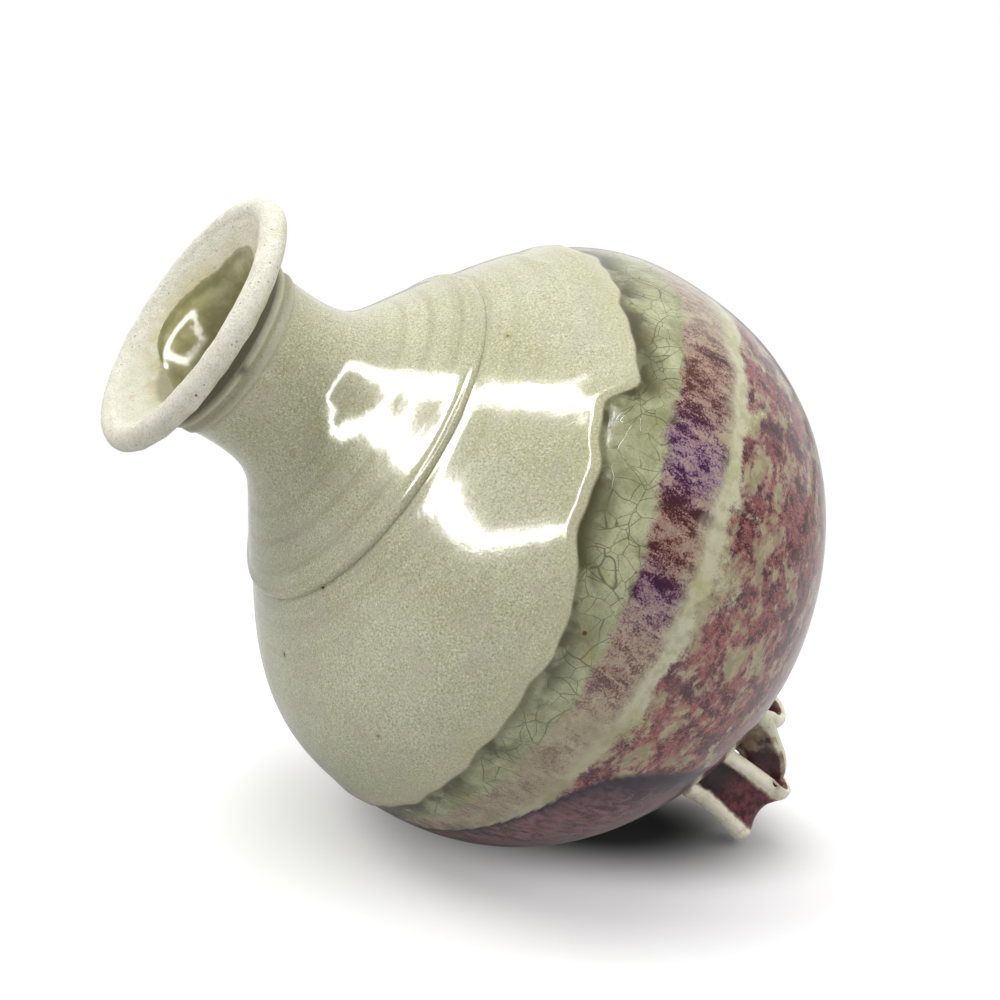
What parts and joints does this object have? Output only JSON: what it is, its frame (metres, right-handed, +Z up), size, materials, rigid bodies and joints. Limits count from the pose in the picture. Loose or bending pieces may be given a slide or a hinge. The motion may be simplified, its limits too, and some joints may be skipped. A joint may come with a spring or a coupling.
{
  "type": "ceramic bottle vase",
  "caption": "Round-bodied ceramic bottle vase with a short flared neck, a bare-clay dished mouth ring and folded strap feet, in banded glazes.",
  "frame": {"origin": "on the table, under the middle of the vase's bounding box", "axes": "+Z up, along the height; the thrown form leans 10.4 degrees towards -X; -Y is the side of the foot that faces the viewer in the picture"},
  "size_m": [0.116, 0.116, 0.1602],
  "materials": {
    "lower_glaze": "glossy",
    "upper_glaze": "glossy",
    "bare_clay": "matte",
    "foot_glaze": "glossy"
  },
  "bodies": {
    "root": {"globe_body": "lower_glaze", "neck": "upper_glaze", "mouth_ring": "bare_clay", "strap_foot_front": "foot_glaze", "strap_foot_right": "foot_glaze", "strap_foot_left": "foot_glaze"}
  },
  "joints": []
}
